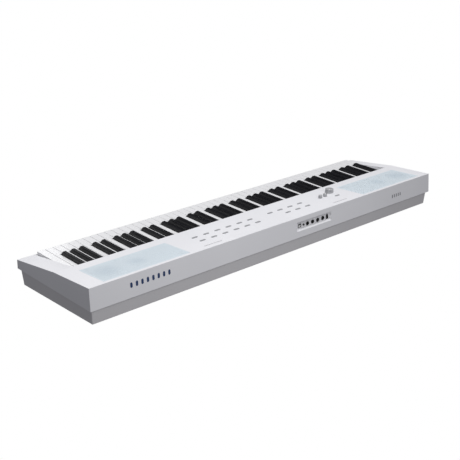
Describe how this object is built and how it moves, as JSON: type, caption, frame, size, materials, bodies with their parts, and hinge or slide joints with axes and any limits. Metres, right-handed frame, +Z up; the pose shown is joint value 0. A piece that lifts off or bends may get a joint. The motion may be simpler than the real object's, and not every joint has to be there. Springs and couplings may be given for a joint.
{
  "type": "digital piano",
  "caption": "Slab digital piano: two-part case, hinged white and black keys on a key bed, panel with buttons and knobs, two grilles over drivers, rear sockets, rubber feet.",
  "frame": {"origin": "centre of the footprint, on the surface under the rubber feet", "axes": "+X along the keyboard towards the treble end, +Y from the player to the rear wall, +Z up"},
  "size_m": [1.32, 0.3326, 0.1165],
  "materials": {
    "case_white": "satin moulded",
    "case_lower": "satin moulded",
    "bed_plastic": "matte moulded",
    "felt": "pressed felt",
    "circuit_board": "solder mask",
    "contact_rubber": "matte",
    "dark_plastic": "matte",
    "socket_steel": "plated",
    "key_white": "gloss moulded",
    "key_black": "satin",
    "knob_grey": "satin",
    "button_grey": "satin",
    "grille": "fine perforated sheet",
    "driver": "matte",
    "foot_rubber": "matte"
  },
  "bodies": {
    "body": {"upper_case": "case_white", "lower_case": "case_lower", "key_bed": "bed_plastic", "key_felt": "felt", "contact_board": "circuit_board", "contact_strip": "contact_rubber", "speaker_grille_treble": "grille", "speaker_grille_bass": "grille", "woofer_treble": "driver", "woofer_bass": "driver", "tweeter_treble": "driver", "tweeter_bass": "driver", "panel_board": "circuit_board", "main_board": "circuit_board", "jack_board": "dark_plastic", "usb_socket": "socket_steel", "foot_treble_rear": "foot_rubber", "foot_treble_front": "foot_rubber", "foot_bass_rear": "foot_rubber", "foot_bass_front": "foot_rubber"},
    "white_keys_0": {"white_keys_0": "key_white"},
    "white_keys_1": {"white_keys_1": "key_white"},
    "white_keys_2": {"white_keys_2": "key_white"},
    "white_keys_3": {"white_keys_3": "key_white"},
    "white_keys_5": {"white_keys_5": "key_white"},
    "white_keys_6": {"white_keys_6": "key_white"},
    "white_keys_7": {"white_keys_7": "key_white"},
    "black_keys_0": {"black_keys_0": "key_black"},
    "black_keys_1": {"black_keys_1": "key_black"},
    "black_keys_2": {"black_keys_2": "key_black"},
    "black_keys_3": {"black_keys_3": "key_black"},
    "black_keys_5": {"black_keys_5": "key_black"},
    "black_keys_6": {"black_keys_6": "key_black"},
    "black_keys_7": {"black_keys_7": "key_black"},
    "key_c4": {"key_c4": "key_white"},
    "key_d4": {"key_d4": "key_white"},
    "key_e4": {"key_e4": "key_white"},
    "key_f4": {"key_f4": "key_white"},
    "key_g4": {"key_g4": "key_white"},
    "key_a4": {"key_a4": "key_white"},
    "key_b4": {"key_b4": "key_white"},
    "key_c_sharp4": {"key_c_sharp4": "key_black"},
    "key_d_sharp4": {"key_d_sharp4": "key_black"},
    "key_f_sharp4": {"key_f_sharp4": "key_black"},
    "key_g_sharp4": {"key_g_sharp4": "key_black"},
    "key_a_sharp4": {"key_a_sharp4": "key_black"},
    "volume_knob": {"volume_knob": "knob_grey"},
    "small_knob_1": {"small_knob_1": "knob_grey"},
    "small_knob_2": {"small_knob_2": "knob_grey"},
    "buttons_treble_front": {"buttons_treble_front": "button_grey"},
    "buttons_treble_rear": {"buttons_treble_rear": "button_grey"},
    "button_bass_front_1": {"button_bass_front_1": "button_grey"},
    "button_bass_front_2": {"button_bass_front_2": "button_grey"},
    "button_bass_front_3": {"button_bass_front_3": "button_grey"},
    "button_bass_front_4": {"button_bass_front_4": "button_grey"},
    "button_bass_rear_1": {"button_bass_rear_1": "button_grey"},
    "button_bass_rear_2": {"button_bass_rear_2": "button_grey"},
    "button_bass_rear_3": {"button_bass_rear_3": "button_grey"},
    "button_power": {"button_power": "button_grey"},
    "power_switch": {"power_switch": "dark_plastic"}
  },
  "joints": [
    {"name": "white_keys_0_press", "type": "hinge", "parent": "body", "child": "white_keys_0", "pos_m": [0, 0.044, 0.076], "axis": [1, 0, 0], "range_deg": [0, 2.9], "stiffness_Nm_per_rad": 0.8, "springref_deg": -28.65},
    {"name": "white_keys_1_press", "type": "hinge", "parent": "body", "child": "white_keys_1", "pos_m": [0, 0.044, 0.076], "axis": [1, 0, 0], "range_deg": [0, 2.9], "stiffness_Nm_per_rad": 2.8, "springref_deg": -28.65},
    {"name": "white_keys_2_press", "type": "hinge", "parent": "body", "child": "white_keys_2", "pos_m": [0, 0.044, 0.076], "axis": [1, 0, 0], "range_deg": [0, 2.9], "stiffness_Nm_per_rad": 2.8, "springref_deg": -28.65},
    {"name": "white_keys_3_press", "type": "hinge", "parent": "body", "child": "white_keys_3", "pos_m": [0, 0.044, 0.076], "axis": [1, 0, 0], "range_deg": [0, 2.9], "stiffness_Nm_per_rad": 2.8, "springref_deg": -28.65},
    {"name": "white_keys_5_press", "type": "hinge", "parent": "body", "child": "white_keys_5", "pos_m": [0, 0.044, 0.076], "axis": [1, 0, 0], "range_deg": [0, 2.9], "stiffness_Nm_per_rad": 2.8, "springref_deg": -28.65},
    {"name": "white_keys_6_press", "type": "hinge", "parent": "body", "child": "white_keys_6", "pos_m": [0, 0.044, 0.076], "axis": [1, 0, 0], "range_deg": [0, 2.9], "stiffness_Nm_per_rad": 2.8, "springref_deg": -28.65},
    {"name": "white_keys_7_press", "type": "hinge", "parent": "body", "child": "white_keys_7", "pos_m": [0, 0.044, 0.076], "axis": [1, 0, 0], "range_deg": [0, 2.9], "stiffness_Nm_per_rad": 3.2, "springref_deg": -28.65},
    {"name": "black_keys_0_press", "type": "hinge", "parent": "body", "child": "black_keys_0", "pos_m": [0, 0.0266, 0.0646], "axis": [1, 0, 0], "range_deg": [0, 4], "stiffness_Nm_per_rad": 0.3, "springref_deg": -22.92},
    {"name": "black_keys_1_press", "type": "hinge", "parent": "body", "child": "black_keys_1", "pos_m": [0, 0.0266, 0.0646], "axis": [1, 0, 0], "range_deg": [0, 4], "stiffness_Nm_per_rad": 1.5, "springref_deg": -22.92},
    {"name": "black_keys_2_press", "type": "hinge", "parent": "body", "child": "black_keys_2", "pos_m": [0, 0.0266, 0.0646], "axis": [1, 0, 0], "range_deg": [0, 4], "stiffness_Nm_per_rad": 1.5, "springref_deg": -22.92},
    {"name": "black_keys_3_press", "type": "hinge", "parent": "body", "child": "black_keys_3", "pos_m": [0, 0.0266, 0.0646], "axis": [1, 0, 0], "range_deg": [0, 4], "stiffness_Nm_per_rad": 1.5, "springref_deg": -22.92},
    {"name": "black_keys_5_press", "type": "hinge", "parent": "body", "child": "black_keys_5", "pos_m": [0, 0.0266, 0.0646], "axis": [1, 0, 0], "range_deg": [0, 4], "stiffness_Nm_per_rad": 1.5, "springref_deg": -22.92},
    {"name": "black_keys_6_press", "type": "hinge", "parent": "body", "child": "black_keys_6", "pos_m": [0, 0.0266, 0.0646], "axis": [1, 0, 0], "range_deg": [0, 4], "stiffness_Nm_per_rad": 1.5, "springref_deg": -22.92},
    {"name": "black_keys_7_press", "type": "hinge", "parent": "body", "child": "black_keys_7", "pos_m": [0, 0.0266, 0.0646], "axis": [1, 0, 0], "range_deg": [0, 4], "stiffness_Nm_per_rad": 1.5, "springref_deg": -22.92},
    {"name": "key_c4_press", "type": "hinge", "parent": "body", "child": "key_c4", "pos_m": [0, 0.044, 0.076], "axis": [1, 0, 0], "range_deg": [0, 2.9], "stiffness_Nm_per_rad": 0.4, "springref_deg": -28.65},
    {"name": "key_d4_press", "type": "hinge", "parent": "body", "child": "key_d4", "pos_m": [0, 0.044, 0.076], "axis": [1, 0, 0], "range_deg": [0, 2.9], "stiffness_Nm_per_rad": 0.4, "springref_deg": -28.65},
    {"name": "key_e4_press", "type": "hinge", "parent": "body", "child": "key_e4", "pos_m": [0, 0.044, 0.076], "axis": [1, 0, 0], "range_deg": [0, 2.9], "stiffness_Nm_per_rad": 0.4, "springref_deg": -28.65},
    {"name": "key_f4_press", "type": "hinge", "parent": "body", "child": "key_f4", "pos_m": [0, 0.044, 0.076], "axis": [1, 0, 0], "range_deg": [0, 2.9], "stiffness_Nm_per_rad": 0.4, "springref_deg": -28.65},
    {"name": "key_g4_press", "type": "hinge", "parent": "body", "child": "key_g4", "pos_m": [0, 0.044, 0.076], "axis": [1, 0, 0], "range_deg": [0, 2.9], "stiffness_Nm_per_rad": 0.4, "springref_deg": -28.65},
    {"name": "key_a4_press", "type": "hinge", "parent": "body", "child": "key_a4", "pos_m": [0, 0.044, 0.076], "axis": [1, 0, 0], "range_deg": [0, 2.9], "stiffness_Nm_per_rad": 0.4, "springref_deg": -28.65},
    {"name": "key_b4_press", "type": "hinge", "parent": "body", "child": "key_b4", "pos_m": [0, 0.044, 0.076], "axis": [1, 0, 0], "range_deg": [0, 2.9], "stiffness_Nm_per_rad": 0.4, "springref_deg": -28.65},
    {"name": "key_c_sharp4_press", "type": "hinge", "parent": "body", "child": "key_c_sharp4", "pos_m": [0, 0.0266, 0.0646], "axis": [1, 0, 0], "range_deg": [0, 4], "stiffness_Nm_per_rad": 0.3, "springref_deg": -22.92},
    {"name": "key_d_sharp4_press", "type": "hinge", "parent": "body", "child": "key_d_sharp4", "pos_m": [0, 0.0266, 0.0646], "axis": [1, 0, 0], "range_deg": [0, 4], "stiffness_Nm_per_rad": 0.3, "springref_deg": -22.92},
    {"name": "key_f_sharp4_press", "type": "hinge", "parent": "body", "child": "key_f_sharp4", "pos_m": [0, 0.0266, 0.0646], "axis": [1, 0, 0], "range_deg": [0, 4], "stiffness_Nm_per_rad": 0.3, "springref_deg": -22.92},
    {"name": "key_g_sharp4_press", "type": "hinge", "parent": "body", "child": "key_g_sharp4", "pos_m": [0, 0.0266, 0.0646], "axis": [1, 0, 0], "range_deg": [0, 4], "stiffness_Nm_per_rad": 0.3, "springref_deg": -22.92},
    {"name": "key_a_sharp4_press", "type": "hinge", "parent": "body", "child": "key_a_sharp4", "pos_m": [0, 0.0266, 0.0646], "axis": [1, 0, 0], "range_deg": [0, 4], "stiffness_Nm_per_rad": 0.3, "springref_deg": -22.92},
    {"name": "volume_knob_turn", "type": "hinge", "parent": "body", "child": "volume_knob", "pos_m": [-0.292, 0.0635, 0.106], "axis": [0, 0, 1], "range_deg": [-150, 150]},
    {"name": "small_knob_1_turn", "type": "hinge", "parent": "body", "child": "small_knob_1", "pos_m": [-0.254, 0.081, 0.106], "axis": [0, 0, 1], "range_deg": [-150, 150]},
    {"name": "small_knob_2_turn", "type": "hinge", "parent": "body", "child": "small_knob_2", "pos_m": [-0.232, 0.082, 0.106], "axis": [0, 0, 1], "range_deg": [-150, 150]},
    {"name": "power_switch_turn", "type": "hinge", "parent": "body", "child": "power_switch", "pos_m": [-0.1806, 0.1544, 0.0792], "axis": [1, 0, 0], "range_deg": [-10, 0]},
    {"name": "buttons_treble_front_press", "type": "slide", "parent": "body", "child": "buttons_treble_front", "axis": [0, 0, -1], "range_m": [0, 0.0012], "stiffness_N_per_m": 600, "springref_m": -0.003},
    {"name": "buttons_treble_rear_press", "type": "slide", "parent": "body", "child": "buttons_treble_rear", "axis": [0, 0, -1], "range_m": [0, 0.0012], "stiffness_N_per_m": 600, "springref_m": -0.003},
    {"name": "button_bass_front_1_press", "type": "slide", "parent": "body", "child": "button_bass_front_1", "axis": [0, 0, -1], "range_m": [0, 0.0012], "stiffness_N_per_m": 300, "springref_m": -0.003},
    {"name": "button_bass_front_2_press", "type": "slide", "parent": "body", "child": "button_bass_front_2", "axis": [0, 0, -1], "range_m": [0, 0.0012], "stiffness_N_per_m": 300, "springref_m": -0.003},
    {"name": "button_bass_front_3_press", "type": "slide", "parent": "body", "child": "button_bass_front_3", "axis": [0, 0, -1], "range_m": [0, 0.0012], "stiffness_N_per_m": 300, "springref_m": -0.003},
    {"name": "button_bass_front_4_press", "type": "slide", "parent": "body", "child": "button_bass_front_4", "axis": [0, 0, -1], "range_m": [0, 0.0012], "stiffness_N_per_m": 300, "springref_m": -0.003},
    {"name": "button_bass_rear_1_press", "type": "slide", "parent": "body", "child": "button_bass_rear_1", "axis": [0, 0, -1], "range_m": [0, 0.0012], "stiffness_N_per_m": 300, "springref_m": -0.003},
    {"name": "button_bass_rear_2_press", "type": "slide", "parent": "body", "child": "button_bass_rear_2", "axis": [0, 0, -1], "range_m": [0, 0.0012], "stiffness_N_per_m": 300, "springref_m": -0.003},
    {"name": "button_bass_rear_3_press", "type": "slide", "parent": "body", "child": "button_bass_rear_3", "axis": [0, 0, -1], "range_m": [0, 0.0012], "stiffness_N_per_m": 300, "springref_m": -0.003},
    {"name": "button_power_press", "type": "slide", "parent": "body", "child": "button_power", "axis": [0, 0, -1], "range_m": [0, 0.0012], "stiffness_N_per_m": 300, "springref_m": -0.003}
  ]
}
